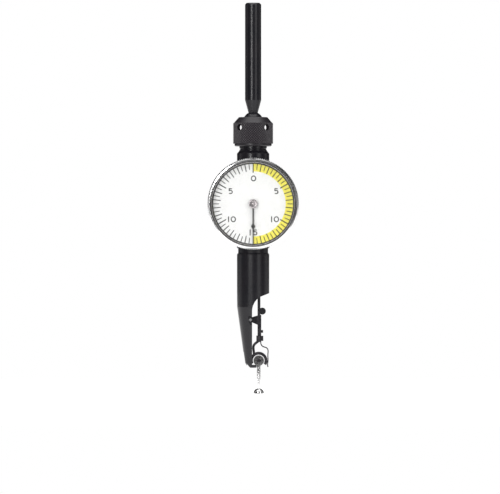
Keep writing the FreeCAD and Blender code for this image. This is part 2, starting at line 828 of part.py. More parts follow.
def lever_fork():
    """Clevis on the lower end of the lever: a block and two cheeks that straddle the contact hub."""
    block_bottom = low(lever_bottom_low + fork_block_lap)
    fork = box(lever_inner_x - fork_block_lap, lever_outer_x, -cheek_outer_y, cheek_outer_y,
               block_bottom, block_bottom + fork_block_height)
    arm_line = [(x, low(distance)) for x, distance in fork_arm_line]
    for side in (-1, 1):
        y0, y1 = sorted((side * cheek_inner_y, side * cheek_outer_y))
        arm = ribbon(arm_line, fork_arm_width, y0, y1)
        ring = rod_y(hub_ring_radius, y0, y1, hub_x, low(hub_low))
        ring = ring.cut(ring_opening_wedge(y0, y1))
        fork = fork.fuse([arm, ring])
    fork = fork.cut(rod_y(hub_ring_inner, -cheek_outer_y, cheek_outer_y, hub_x, low(hub_low)))
    bar_slot = box(0, 2 * lever_outer_x, -lever_half_thickness, lever_half_thickness,
                   low(lever_bottom_low), low(0))
    return fork.cut(bar_slot).removeSplitter()


def ring_opening_wedge(y0, y1):
    reach = 2 * hub_ring_radius
    points = [(hub_x, low(hub_low))]
    for angle in (hub_ring_open_from, (hub_ring_open_from + hub_ring_open_to) / 2, hub_ring_open_to):
        turn = math.radians(angle)
        points.append((hub_x + reach * math.cos(turn), low(hub_low) + reach * math.sin(turn)))
    return plate(points, y0, y1)


def leaf_spring():
    """Leaf on the outer edge of the lever whose split tail bears on the rim of the fork ring."""
    bottom = low(lever_bottom_low + fork_block_lap)
    leaf = box(lever_outer_x, lever_outer_x + leaf_gauge, -lever_half_thickness, lever_half_thickness,
               bottom, low(leaf_top_low))
    tee = box(lever_outer_x, lever_outer_x + leaf_gauge, -tail_outer_y, tail_outer_y,
              bottom, bottom + tail_tee_height)
    middle = lever_outer_x + leaf_gauge / 2
    line = [(middle + x, low(distance)) for x, distance in tail_line]
    rim = hub_x + hub_ring_radius + tail_gap + tail_gauge / 2
    line += [(rim + x, low(hub_low + distance)) for x, distance in tail_end_line]
    spring = leaf.fuse(tee)
    for side in (-1, 1):
        y0, y1 = sorted((side * tail_inner_y, side * tail_outer_y))
        spring = spring.fuse(ribbon(line, tail_gauge, y0, y1))
    return spring


def spring_clip():
    """Block that clamps the leaf on the lever."""
    x = lever_outer_x + leaf_gauge
    return box(x, x + clip_depth, -cheek_outer_y, cheek_outer_y, low(lever_bottom_low), low(clip_top_low))


def leaf_screw():
    start = V(lever_outer_x + leaf_gauge, 0, low(leaf_screw_low))
    return Part.makeCylinder(leaf_screw_radius, leaf_screw_height, start, V(1, 0, 0))


def reversing_knob():
    """Knob with its pin through the lever lug and a riveted washer behind."""
    half = lever_half_thickness + knob_gap
    z = low(knob_low)
    knob = rod_y(knob_radius, -half - knob_thickness, -half, knob_x, z)
    pin = rod_y(knob_pin_radius, -half, half, knob_x, z)
    washer = rod_y(2 * knob_pin_radius, half, half + knob_washer_thickness, knob_x, z)
    return knob.fuse([pin, washer])


# ---------------------------------------------------------------- contact
def contact_hub():
    """Drum that turns in the fork rings, recessed in front for its screw."""
    z = low(hub_low)
    drum = rod_y(hub_radius, -hub_half_width, hub_half_width, hub_x, z)
    return drum.cut(rod_y(hub_screw_radius, -hub_half_width, hub_screw_depth - hub_half_width, hub_x, z))


def hub_screw():
    z = low(hub_low)
    front = -hub_half_width - hub_screw_proud
    screw = rod_y(hub_screw_radius, front, hub_screw_depth - hub_half_width, hub_x, z)
    slot = box(hub_x - hub_screw_radius, hub_x + hub_screw_radius, front, front + screw_slot,
               z - screw_slot / 2, z + screw_slot / 2)
    return screw.cut(slot)


def contact_stem():
    """Round stem from the drum to the ball, tapering over its last part."""
    top = low(hub_low)
    bottom = low(hub_low + contact_length)
    neck = bottom + contact_ball_radius + stem_tip_length
    stem = rod_z(stem_radius, neck, top, hub_x)
    tip = Part.makeCone(stem_tip_radius, stem_radius, neck - bottom, V(hub_x, 0, bottom))
    stem = stem.fuse(tip)
    stem = stem.cut(rod_y(hub_radius, -hub_half_width, hub_half_width, hub_x, top))
    return stem.cut(contact_ball())


def contact_ball():
    return Part.makeSphere(contact_ball_radius, V(hub_x, 0, low(hub_low + contact_length)))


SUB_PARTS = {
    "swivel_shank": swivel_shank,
    "swivel_nut": swivel_nut,
    "clamp_ring": clamp_ring,
    "ball_seat": ball_seat,
    "seat_spring": seat_spring,
    "body_tube": body_tube,
    "nose_barrel": nose_barrel,
    "fulcrum_pin": fulcrum_pin,
    "dial_case": dial_case,
    "case_screws": case_screws,
    "plate_pillars": plate_pillars,
    "movement_plate": movement_plate,
    "plate_screws": plate_screws,
    "bearing_jewels": bearing_jewels,
    "train_bridge": train_bridge,
    "hairspring": hairspring,
    "bezel": bezel,
    "bezel_spring": bezel_spring,
    "crystal": crystal,
    "dial_face": dial_face,
    "train_wheel": train_wheel,
    "train_pinion": train_pinion,
    "hand_pinion": hand_pinion,
    "hand": hand,
    "lever_bar": lever_bar,
    "lever_sector": lever_sector,
    "lever_fork": lever_fork,
    "leaf_spring": leaf_spring,
    "spring_clip": spring_clip,
    "leaf_screw": leaf_screw,
    "reversing_knob": reversing_knob,
    "contact_hub": contact_hub,
    "hub_screw": hub_screw,
    "contact_stem": contact_stem,
    "contact_ball": contact_ball,
}

os.makedirs("parts", exist_ok=True)
for name, make in SUB_PARTS.items():
    shape = make()
    shape.exportStep("parts/" + name + ".step")
    print(name, len(shape.Solids), round(shape.Volume, 3), shape.isValid())
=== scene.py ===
"""Dial test indicator: materials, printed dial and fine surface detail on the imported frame.

Everything is in metres in the frame of the CAD model: +Z runs up the body to the shank and the
dial faces -Y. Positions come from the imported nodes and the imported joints.
"""
import json
import math

import bmesh
import bpy
from mathutils import Matrix, Vector

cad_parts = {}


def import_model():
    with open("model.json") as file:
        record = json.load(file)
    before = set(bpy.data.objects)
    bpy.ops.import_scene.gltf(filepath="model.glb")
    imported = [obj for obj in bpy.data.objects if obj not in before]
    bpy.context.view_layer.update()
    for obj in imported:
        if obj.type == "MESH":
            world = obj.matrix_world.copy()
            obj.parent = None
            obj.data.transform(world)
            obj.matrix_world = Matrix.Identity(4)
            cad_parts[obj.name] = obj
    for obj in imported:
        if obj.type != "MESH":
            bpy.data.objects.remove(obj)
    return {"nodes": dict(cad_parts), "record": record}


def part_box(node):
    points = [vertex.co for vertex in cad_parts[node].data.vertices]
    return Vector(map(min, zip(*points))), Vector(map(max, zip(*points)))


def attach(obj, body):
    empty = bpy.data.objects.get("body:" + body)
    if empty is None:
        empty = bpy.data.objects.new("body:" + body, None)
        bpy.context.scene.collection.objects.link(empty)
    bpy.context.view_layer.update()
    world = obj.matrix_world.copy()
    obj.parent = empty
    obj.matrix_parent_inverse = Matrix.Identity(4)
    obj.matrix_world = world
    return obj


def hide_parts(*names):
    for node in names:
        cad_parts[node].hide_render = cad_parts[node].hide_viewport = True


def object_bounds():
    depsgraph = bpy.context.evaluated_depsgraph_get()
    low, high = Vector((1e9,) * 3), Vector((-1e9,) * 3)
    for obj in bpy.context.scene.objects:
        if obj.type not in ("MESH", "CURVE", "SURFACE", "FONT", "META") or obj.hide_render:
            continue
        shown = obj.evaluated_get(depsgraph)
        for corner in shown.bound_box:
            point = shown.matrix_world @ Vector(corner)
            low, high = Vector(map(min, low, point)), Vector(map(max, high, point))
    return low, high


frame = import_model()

CAD_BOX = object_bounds()
MM = 0.001
NODES = frame["nodes"]


def joint_place(name):
    for joint in frame["record"]["behaviour"]["joints"]:
        if joint["name"] == name:
            return Vector(joint["pos_m"])
    raise KeyError(name)


DIAL = joint_place("bezel_turn")

# Dot product of the true and the bevelled normal where an edge starts to show and is full.
EDGE_STARTS, EDGE_FULL = 0.97, 0.80


# ---------------------------------------------------------------- node material helpers
class Shader:
    """Small builder for one node material."""

    def __init__(self, name, **sockets):
        self.material = bpy.data.materials.new(name)
        self.material.use_nodes = True
        self.tree = self.material.node_tree
        self.bsdf = self.tree.nodes["Principled BSDF"]
        for socket, value in sockets.items():
            self.bsdf.inputs[socket.replace("_", " ")].default_value = value

    def node(self, kind, inputs=None, **settings):
        made = self.tree.nodes.new("ShaderNode" + kind)
        for key, value in settings.items():
            setattr(made, key, value)
        for key, value in (inputs or {}).items():
            self.put(made.inputs[key], value)
        return made

    def put(self, socket, value):
        if isinstance(value, bpy.types.NodeSocket):
            self.tree.links.new(value, socket)
        elif isinstance(value, bpy.types.Node):
            self.tree.links.new(value.outputs[0], socket)
        else:
            socket.default_value = value

    def math(self, operation, a, b=0.0, c=0.0):
        return self.node("Math", {0: a, 1: b, 2: c}, operation=operation).outputs[0]

    def position(self, about=(0, 0, 0)):
        """Object coordinates in millimetres about a place."""
        coords = self.node("TexCoord").outputs["Object"]
        moved = self.node("VectorMath", {0: coords, 1: tuple(about)}, operation="SUBTRACT")
        return self.node("VectorMath", {0: moved.outputs[0], "Scale": 1000.0},
                         operation="SCALE").outputs[0]

    def split(self, vector):
        parts = self.node("SeparateXYZ", {0: vector}).outputs
        return parts[0], parts[1], parts[2]

    def noise(self, vector, scale, detail=3.0, roughness=0.55, stretch=None):
        if stretch:
            vector = self.node("Mapping", {"Vector": vector, "Scale": stretch}).outputs[0]
        return self.node("TexNoise", {"Vector": vector, "Scale": scale, "Detail": detail,
                                      "Roughness": roughness}).outputs["Fac"]

    def spread(self, value, low, high, to_low=0.0, to_high=1.0):
        return self.node("MapRange", {"Value": value, "From Min": low, "From Max": high,
                                      "To Min": to_low, "To Max": to_high}).outputs["Result"]

    def mix(self, factor, a, b):
        made = self.node("Mix", data_type="RGBA")
        self.put(made.inputs[0], factor)
        self.put(made.inputs[6], a)
        self.put(made.inputs[7], b)
        return made.outputs[2]

    def edge(self, radius):
        """0 on flat places, near 1 on convex edges."""
        bevel = self.node("Bevel", {"Radius": radius * MM}, samples=4)
        geometry = self.node("NewGeometry")
        dot = self.node("VectorMath", {0: bevel.outputs[0], 1: geometry.outputs["Normal"]},
                        operation="DOT_PRODUCT").outputs["Value"]
        return self.spread(dot, EDGE_STARTS, EDGE_FULL)

    def bump(self, height, strength=0.3, distance=0.02, after=None):
        made = self.node("Bump", {"Height": height, "Strength": strength,
                                  "Distance": distance * MM})
        if after is not None:
            self.put(made.inputs["Normal"], after)
        return made.outputs[0]

    def finish(self, color=None, roughness=None, normal=None):
        pairs = (("Base Color", color), ("Roughness", roughness), ("Normal", normal))
        for key, value in pairs:
            if value is not None:
                self.put(self.bsdf.inputs[key], value)
        return self.material


def rgb(r, g, b):
    return (r, g, b, 1.0)


# ---------------------------------------------------------------- materials
def black_oxide():
    """Oil-blacked steel: fine grain, faint turning lines, brown-violet cloud, worn edges."""
    s = Shader("black_oxide", Specular_IOR_Level=0.45)
    place = s.position()
    cloud = s.noise(place, 0.22, 4)
    grain = s.noise(place, 9.0, 3)
    turned = s.noise(place, 1.6, 2, stretch=(0.15, 0.15, 9.0))
    edge = s.edge(0.12)
    color = s.mix(s.spread(cloud, 0.35, 0.7), rgb(0.0060, 0.0060, 0.0092),
                  rgb(0.0110, 0.0092, 0.0122))
    color = s.mix(s.math("MULTIPLY", edge, s.spread(grain, 0.4, 0.6, 0.05, 0.5)), color,
                  rgb(0.11, 0.10, 0.105))
    rough = s.spread(grain, 0.3, 0.7, 0.22, 0.34)
    bumped = s.bump(turned, 0.22, 0.01)
    return s.finish(color, rough, s.bump(grain, 0.16, 0.008, bumped))


def knurled_oxide():
    """The same finish where the knurl has been handled: the points are rubbed lighter."""
    s = Shader("knurled_oxide", Specular_IOR_Level=0.5)
    place = s.position()
    grain = s.noise(place, 6.0, 3)
    x, y, _ = s.split(place)
    across = s.math("MULTIPLY", x, x)
    radius = s.math("SQRT", s.math("ADD", across, s.math("MULTIPLY", y, y)))
    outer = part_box("swivel_nut")[1].x / MM
    rubbed = s.spread(radius, outer - 0.16, outer - 0.01)
    rubbed = s.math("MULTIPLY", rubbed, s.spread(grain, 0.35, 0.65, 0.25, 1.0))
    color = s.mix(rubbed, rgb(0.020, 0.017, 0.021), rgb(0.135, 0.115, 0.130))
    return s.finish(color, s.spread(grain, 0.3, 0.7, 0.30, 0.46), s.bump(grain, 0.2, 0.01))


def steel(name, dark, light, low=0.18, high=0.34, lines=(0.3, 0.3, 6.0)):
    """Metal with a fine directional grain and a slight change of tone."""
    s = Shader(name, Metallic=1.0)
    place = s.position()
    grain = s.noise(place, 4.0, 3, stretch=lines)
    cloud = s.noise(place, 0.8, 3)
    color = s.mix(s.spread(cloud, 0.35, 0.65), rgb(*dark), rgb(*light))
    rough = s.spread(grain, 0.3, 0.7, low, high)
    return s.finish(color, rough, s.bump(grain, 0.18, 0.006))


def chrome():
    """Satin chrome of the bezel with faint turning lines round the dial axis."""
    s = Shader("chrome", Metallic=1.0)
    x, y, z = s.split(s.position(DIAL))
    radius = s.math("SQRT", s.math("ADD", s.math("MULTIPLY", x, x), s.math("MULTIPLY", z, z)))
    ring = s.node("CombineXYZ", {0: radius, 1: y, 2: 0.0}).outputs[0]
    lines = s.noise(ring, 7.0, 2)
    cloud = s.noise(s.position(DIAL), 0.5, 3)
    color = s.mix(s.spread(cloud, 0.3, 0.7), rgb(0.86, 0.855, 0.86), rgb(0.92, 0.92, 0.92))
    rough = s.spread(lines, 0.3, 0.7, 0.10, 0.20)
    return s.finish(color, rough, s.bump(lines, 0.14, 0.006))


def polished_steel():
    s = Shader("polished_steel", Metallic=1.0)
    place = s.position()
    fine = s.noise(place, 5.0, 3, stretch=(1.0, 1.0, 0.3))
    smear = s.noise(place, 0.9, 3)
    color = s.mix(s.spread(smear, 0.35, 0.65), rgb(0.80, 0.79, 0.79), rgb(0.90, 0.90, 0.90))
    return s.finish(color, s.spread(fine, 0.3, 0.7, 0.05, 0.12), s.bump(fine, 0.08, 0.004))


def ruby():
    s = Shader("ruby", Transmission_Weight=0.5, IOR=1.76)
    cloud = s.noise(s.position(), 2.0, 3)
    color = s.mix(cloud, rgb(0.45, 0.02, 0.07), rgb(0.65, 0.06, 0.14))
    return s.finish(color, s.spread(cloud, 0.3, 0.7, 0.06, 0.14), s.bump(cloud, 0.05, 0.004))


def clear_crystal():
    """Flat clear window: see-through in front, more mirror-like at a glance."""
    s = Shader("clear_crystal", Specular_IOR_Level=0.5)
    haze = s.noise(s.position(DIAL), 0.6, 4)
    glance = s.node("LayerWeight", {"Blend": 0.25}).outputs["Facing"]
    alpha = s.math("ADD", s.math("MULTIPLY", s.math("POWER", glance, 3.0), 0.6),
                   s.spread(haze, 0.3, 0.7, 0.015, 0.035))
    s.put(s.bsdf.inputs["Alpha"], alpha)
    color = s.mix(haze, rgb(0.95, 0.97, 0.97), rgb(0.98, 0.99, 0.99))
    return s.finish(color, s.spread(haze, 0.3, 0.7, 0.02, 0.05))


def dial_enamel():
    """White dial lacquer with the slightest mottle."""
    s = Shader("white_enamel", Specular_IOR_Level=0.3)
    place = s.position(DIAL)
    mottle = s.noise(place, 1.1, 4)
    fine = s.noise(place, 12.0, 3)
    color = s.mix(s.spread(mottle, 0.3, 0.7), rgb(0.90, 0.90, 0.885), rgb(0.94, 0.94, 0.93))
    return s.finish(color, s.spread(fine, 0.3, 0.7, 0.42, 0.55), s.bump(fine, 0.08, 0.003))


def printed_ink(name, a, b):
    """Screen-printed ink: slightly uneven cover."""
    s = Shader(name, Specular_IOR_Level=0.3)
    place = s.position(DIAL)
    cover = s.noise(place, 6.0, 4)
    color = s.mix(s.spread(cover, 0.3, 0.7), rgb(*a), rgb(*b))
    return s.finish(color, s.spread(cover, 0.3, 0.7, 0.45, 0.6), s.bump(cover, 0.1, 0.002))


MATERIALS = {
    "black_oxide": black_oxide(),
    "dark_steel": steel("dark_steel", (0.035, 0.034, 0.038), (0.07, 0.066, 0.072), 0.26, 0.42),
    "plain_steel": steel("plain_steel", (0.50, 0.50, 0.51), (0.62, 0.62, 0.62)),
    "spring_steel": steel("spring_steel", (0.20, 0.21, 0.26), (0.30, 0.30, 0.34)),
    "polished_steel": polished_steel(),
    "chrome": chrome(),
    "brass": steel("brass", (0.66, 0.46, 0.17), (0.78, 0.58, 0.26), 0.2, 0.36),
    "ruby": ruby(),
    "clear_crystal": clear_crystal(),
    "white_enamel": dial_enamel(),
    "hand_black": printed_ink("hand_black", (0.012, 0.012, 0.013), (0.022, 0.021, 0.023)),
}
KNURLED = knurled_oxide()
BOSS_METAL = steel("boss_metal", (0.42, 0.37, 0.38), (0.62, 0.57, 0.58), 0.22, 0.36,
                   (5.0, 1.0, 5.0))
BLACK_INK = printed_ink("black_ink", (0.010, 0.010, 0.011), (0.020, 0.020, 0.021))
YELLOW_INK = printed_ink("yellow_ink", (0.93, 0.83, 0.075), (0.97, 0.88, 0.12))

for part in frame["record"]["subparts"]:
    slots = NODES[part["node"]].data.materials
    finish = MATERIALS[part["material_slot"]]
    if len(slots) == 0:
        slots.append(finish)
    for index in range(len(slots)):
        slots[index] = finish


# ---------------------------------------------------------------- mesh helpers
def piece(name, mesh, material, body, smooth=30.0):
    made = bpy.data.objects.new(name, mesh)
    bpy.context.scene.collection.objects.link(made)
    mesh.materials.append(material)
    if smooth:
        mesh.shade_smooth()
        mesh.set_sharp_from_angle(angle=math.radians(smooth))
    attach(made, body)
    return made


def mesh_of(points, faces, name):
    """Mesh from points in millimetres."""
    mesh = bpy.data.meshes.new(name)
    mesh.from_pydata([Vector(p) * MM for p in points], [], faces)
    mesh.validate()
    builder = bmesh.new()
    builder.from_mesh(mesh)
    bmesh.ops.remove_doubles(builder, verts=builder.verts, dist=1e-8)
    bmesh.ops.recalc_face_normals(builder, faces=builder.faces)
    builder.to_mesh(mesh)
    builder.free()
    return mesh


def slab(outline, holes, y_front, y_back, name):
    """Flat plate from (x, z) loops in millimetres: outline with optional hole loops."""
    builder = bmesh.new()
    for loop in [outline] + holes:
        corners = [builder.verts.new(Vector((x, y_front, z)) * MM) for x, z in loop]
        for a, b in zip(corners, corners[1:] + corners[:1]):
            builder.edges.new((a, b))
    bmesh.ops.triangle_fill(builder, use_beauty=True, edges=builder.edges[:])
    made = bmesh.ops.extrude_face_region(builder, geom=builder.faces[:])
    moved = [item for item in made["geom"] if isinstance(item, bmesh.types.BMVert)]
    bmesh.ops.translate(builder, verts=moved, vec=Vector((0, (y_back - y_front) * MM, 0)))
    bmesh.ops.recalc_face_normals(builder, faces=builder.faces)
    mesh = bpy.data.meshes.new(name)
    builder.to_mesh(mesh)
    builder.free()
    return mesh


def join(meshes, name):
    builder = bmesh.new()
    for mesh in meshes:
        builder.from_mesh(mesh)
    joined = bpy.data.meshes.new(name)
    builder.to_mesh(joined)
    builder.free()
    return joined


def circle(radius, count=96, start=0.0, sweep=360.0):
    turns = [math.radians(start + sweep * i / count) for i in range(count + (sweep < 360))]
    return [(radius * math.cos(t), radius * math.sin(t)) for t in turns]


# ---------------------------------------------------------------- knurled swivel nut
NUT_LOW, NUT_HIGH = [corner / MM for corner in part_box("swivel_nut")]
BALL_Z = joint_place("swivel_tilt").z / MM
KNURL_POINTS = 48
KNURL_DEPTH = 0.24
# Radii and heights of the nut in millimetres; "down" is below its top, "up" above its foot.
NUT_THREAD, NUT_THREAD_UP = 4.09, 3.4
NUT_FOOT, NUT_FOOT_UP, NUT_FOOT_CHAMFER = 5.48, 0.8, 0.25
NUT_DOME_DOWN, NUT_EDGE = 1.75, 0.05
NUT_CROWN, NUT_CROWN_EDGE = 4.1, 4.25
NUT_MOUTH, NUT_LIP = 2.76, 0.5
NUT_RING_SEAT, NUT_RING_DOWN = 3.64, 1.25
NUT_CHAMBER, NUT_CHAMBER_DOWN, NUT_CHAMBER_UP = 4.63, 1.85, 3.94
NUT_HOLES, NUT_HOLE_RADIUS, NUT_HOLE_DEPTH = 4, 0.95, 3.3
NUT_HOLE_START, NUT_HOLE_BELOW_BALL, NUT_FIRST_HOLE = 3.68, 1.7, 45
NUT_SMOOTH = 14
DRILL_SIDES = 28


def knurled_nut():
    """Turned nut with a diamond knurl cut into its wall, before its holes are drilled."""
    outer = NUT_HIGH.x
    top, bottom = NUT_HIGH.z, NUT_LOW.z
    columns = 2 * KNURL_POINTS
    row_height = math.pi * outer / KNURL_POINTS
    knurl_low, knurl_high = bottom + NUT_FOOT_UP, top - NUT_DOME_DOWN
    rows = round((knurl_high - knurl_low) / row_height)
    profile = [(NUT_THREAD, bottom, 0), (NUT_FOOT - NUT_FOOT_CHAMFER, bottom, 0),
               (NUT_FOOT, bottom + NUT_FOOT_CHAMFER, 0), (NUT_FOOT, knurl_low, 0),
               (outer - KNURL_DEPTH, knurl_low, 0)]
    for row in range(rows + 1):
        profile.append((outer, knurl_low + (knurl_high - knurl_low) * row / rows, row + 1))
    profile += [(outer - KNURL_DEPTH, knurl_high + NUT_EDGE, 0),
                (NUT_CROWN_EDGE, top - NUT_EDGE, 0), (NUT_CROWN, top, 0),
                (NUT_MOUTH, top, 0), (NUT_MOUTH, top - NUT_LIP, 0),
                (NUT_RING_SEAT, top - NUT_LIP, 0), (NUT_RING_SEAT, top - NUT_RING_DOWN, 0),
                (NUT_CHAMBER, top - NUT_CHAMBER_DOWN, 0),
                (NUT_CHAMBER, bottom + NUT_CHAMBER_UP, 0), (NUT_THREAD, bottom + NUT_THREAD_UP, 0)]
    points, faces = [], []
    for column in range(columns):
        turn = 2 * math.pi * column / columns
        for radius, z, row in profile:
            if row and (row + column) % 2:
                radius -= KNURL_DEPTH
            points.append((radius * math.cos(turn), radius * math.sin(turn), z))
    length = len(profile)
    for column in range(columns):
        for index in range(length):
            a = column * length + index
            b = column * length + (index + 1) % length
            c = (column + 1) % columns * length + (index + 1) % length
            d = (column + 1) % columns * length + index
            row = profile[index][2]
            if row and profile[(index + 1) % length][2]:
                if (row + column) % 2:
                    faces += [(a, b, c), (a, c, d)]
                else:
                    faces += [(b, c, d), (b, d, a)]
            else:
                faces.append((a, b, c, d))
    return mesh_of(points, faces, "knurled_nut")


def drill(target, radius, depth, places):
    """Round holes cut into an object: places are (start, direction) pairs in millimetres."""
    for start, direction in places:
        mesh = bpy.data.meshes.new("drill")
        builder = bmesh.new()
        bmesh.ops.create_cone(builder, cap_ends=True, segments=DRILL_SIDES,
                              radius1=radius * MM, radius2=radius * MM, depth=depth * MM)
        turn = Vector((0, 0, 1)).rotation_difference(Vector(direction)).to_matrix().to_4x4()
        middle = Vector(start) + Vector(direction) * depth / 2
        builder.transform(Matrix.Translation(middle * MM) @ turn)
        builder.to_mesh(mesh)
        builder.free()
        tool = bpy.data.objects.new("drill", mesh)
        bpy.context.scene.collection.objects.link(tool)
        cut = target.modifiers.new("drill", "BOOLEAN")
        cut.operation = "DIFFERENCE"
        cut.solver = "EXACT"
        cut.object = tool
        bpy.context.view_layer.update()
        evaluated = target.evaluated_get(bpy.context.evaluated_depsgraph_get())
        result = bpy.data.meshes.new_from_object(evaluated)
        target.modifiers.remove(cut)
        target.data = result
        bpy.data.objects.remove(tool)


def make_nut():
    mesh = knurled_nut()
    mesh.materials.append(KNURLED)
    nut = bpy.data.objects.new("knurled_nut", mesh)
    bpy.context.scene.collection.objects.link(nut)
    places = []
    for hole in range(NUT_HOLES):
        turn = math.radians(NUT_FIRST_HOLE + 360 // NUT_HOLES * hole)
        outward = (math.cos(turn), math.sin(turn), 0)
        start = (NUT_HOLE_START * outward[0], NUT_HOLE_START * outward[1],
                 BALL_Z - NUT_HOLE_BELOW_BALL)
        places.append((start, outward))
    drill(nut, NUT_HOLE_RADIUS, NUT_HOLE_DEPTH, places)
    nut.data.shade_smooth()
    nut.data.set_sharp_from_angle(angle=math.radians(NUT_SMOOTH))
    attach(nut, "swivel_nut")
    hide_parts("swivel_nut")


make_nut()


# ---------------------------------------------------------------- knurled bezel
BEZEL_LOW, BEZEL_HIGH = [(corner - DIAL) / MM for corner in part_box("bezel")]
BEZEL_TEETH = 150
BEZEL_CUT = 0.16
COLUMNS_PER_TOOTH = 4
BEZEL_WALL, BEZEL_LIP = 1.09, 0.26
BEZEL_SMOOTH = 22.0
RING_PLAY = 0.04
# Steps of the turned profile in millimetres. The lip's are (outside the opening, behind the
# front); the rim's are (inside the rim, behind the front) and (inside the rim, before the back).
LIP_STEPS = ((0.0, 0.12), (0.1, 0.0), (0.42, 0.0), (0.47, 0.10), (0.53, 0.10), (0.58, 0.02))
RIM_FRONT_STEPS = ((0.42, 0.10), (0.26, 0.30), (0.17, 0.52))
RIM_BACK_STEPS = ((0.17, 0.32), (0.35, 0.0))
SERRATION_FROM_FRONT, SERRATION_FROM_BACK = 0.70, 0.55


def knurled_bezel():
    """Ring turned about the dial axis with fine straight serrations on its rim."""
    outer = BEZEL_HIGH.x
    front, back = BEZEL_LOW.y, BEZEL_HIGH.y
    dial_front = (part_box("dial_face")[0].y - DIAL.y) / MM
    crystal_low, crystal_high = [(corner.y - DIAL.y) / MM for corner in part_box("crystal")]
    bore = outer - BEZEL_WALL
    opening = bore - BEZEL_LIP
    crystal_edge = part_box("crystal")[1].x / MM
    ring_low, ring_high = [(corner.y - DIAL.y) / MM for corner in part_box("bezel_spring")]
    ring_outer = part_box("bezel_spring")[1].x / MM + RING_PLAY
    profile = [(opening + outside, front + behind, 0) for outside, behind in LIP_STEPS]
    profile += [(outer - inside, front + behind, 0) for inside, behind in RIM_FRONT_STEPS]
    profile += [(outer, front + SERRATION_FROM_FRONT, 1), (outer, back - SERRATION_FROM_BACK, 1)]
    profile += [(outer - inside, back - before, 0) for inside, before in RIM_BACK_STEPS]
    profile += [
        (bore, back, 0),
        (bore, ring_high + RING_PLAY, 0), (ring_outer, ring_high + RING_PLAY, 0),
        (ring_outer, ring_low - RING_PLAY, 0), (bore, ring_low - RING_PLAY, 0),
        (bore, dial_front, 0), (opening, dial_front, 0), (opening, crystal_high, 0),
        (crystal_edge, crystal_high, 0), (crystal_edge, crystal_low, 0), (opening, crystal_low, 0),
    ]
    points, faces = [], []
    columns = COLUMNS_PER_TOOTH * BEZEL_TEETH
    length = len(profile)
    for column in range(columns):
        turn = 2 * math.pi * column / columns
        cut = BEZEL_CUT if column % COLUMNS_PER_TOOTH in (0, 1) else 0.0
        for radius, y, toothed in profile:
            radius -= cut * toothed
            points.append((radius * math.cos(turn), y + DIAL.y / MM,
                           radius * math.sin(turn) + DIAL.z / MM))
    for column in range(columns):
        for index in range(length):
            after = (index + 1) % length
            across = (column + 1) % columns
            faces.append((column * length + index, column * length + after,
                          across * length + after, across * length + index))
    return mesh_of(points, faces, "knurled_bezel")


bezel = piece("knurled_bezel", knurled_bezel(), MATERIALS["chrome"], "bezel",
              BEZEL_SMOOTH)
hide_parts("bezel")


# ---------------------------------------------------------------- printed dial
DIAL_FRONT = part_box("dial_face")[0].y / MM
DIAL_Z = DIAL.z / MM
INK = 0.012
INK_SEAT = 0.001
DIVISIONS = 60
RING_OUTER = 12.1
TICK_OUTER = 11.75
RING_LAP = 0.03
# (one division in so many, inner radius, width)
TICKS = ((10, 9.15, 0.30), (2, 9.6, 0.26), (1, 10.05, 0.22))
BAND_INNER = 9.55


def on_dial(points):
    return [(x, z + DIAL_Z) for x, z in points]


def dial_bar(turn, inner, outer, width):
    """Loop of a radial bar; turn is clockwise from the top in degrees."""
    angle = math.radians(90 - turn)
    along = (math.cos(angle), math.sin(angle))
    side = (-along[1] * width / 2, along[0] * width / 2)
    return on_dial([(along[0] * inner - side[0], along[1] * inner - side[1]),
                    (along[0] * outer - side[0], along[1] * outer - side[1]),
                    (along[0] * outer + side[0], along[1] * outer + side[1]),
                    (along[0] * inner + side[0], along[1] * inner + side[1])])


def printed(outline, holes, name, lift=INK):
    return slab(outline, holes, DIAL_FRONT - lift, DIAL_FRONT - INK_SEAT, name)


def ticks():
    bars = []
    for division in range(DIVISIONS):
        for every, inner, width in TICKS:
            if division % every == 0:
                break
        bars.append(printed(dial_bar(division * 360 / DIVISIONS, inner, TICK_OUTER, width), [],
                            "tick", 2 * INK))
    return join(bars, "dial_divisions")


def thick_line(points, width, name, closed=False):
    """Printed stroke of even width along (x, z) points about the dial centre."""
    left, right = [], []
    count = len(points)
    for index, (x, z) in enumerate(points):
        if closed:
            before, after = points[index - 1], points[(index + 1) % count]
        else:
            before, after = points[max(index - 1, 0)], points[min(index + 1, count - 1)]
        dx, dz = after[0] - before[0], after[1] - before[1]
        size = math.hypot(dx, dz)
        side = (-dz / size * width / 2, dx / size * width / 2)
        left.append((x + side[0], z + side[1]))
        right.append((x - side[0], z - side[1]))
    if closed:
        return printed(on_dial(right), [on_dial(left)], name, 2 * INK)
    return printed(on_dial(left + right[::-1]), [], name, 2 * INK)


DIGIT_HEIGHT = 1.72
DIGIT_STROKE = 0.30
ZERO_POINTS, ZERO_NARROW = 36, 0.9
BOWL, BOWL_WIDE, BOWL_SHIFT = 0.47, 1.08, -0.02
BOWL_TURNS = range(112, -141, -14)
FIVE_RIGHT, FIVE_LEFT = 0.43, -0.38
STEM_LEAN, STEM_END, STEM_STROKE = 0.07, 0.82, 0.9
BOWL_START_LEFT, BOWL_START_UP = 0.12, 0.8


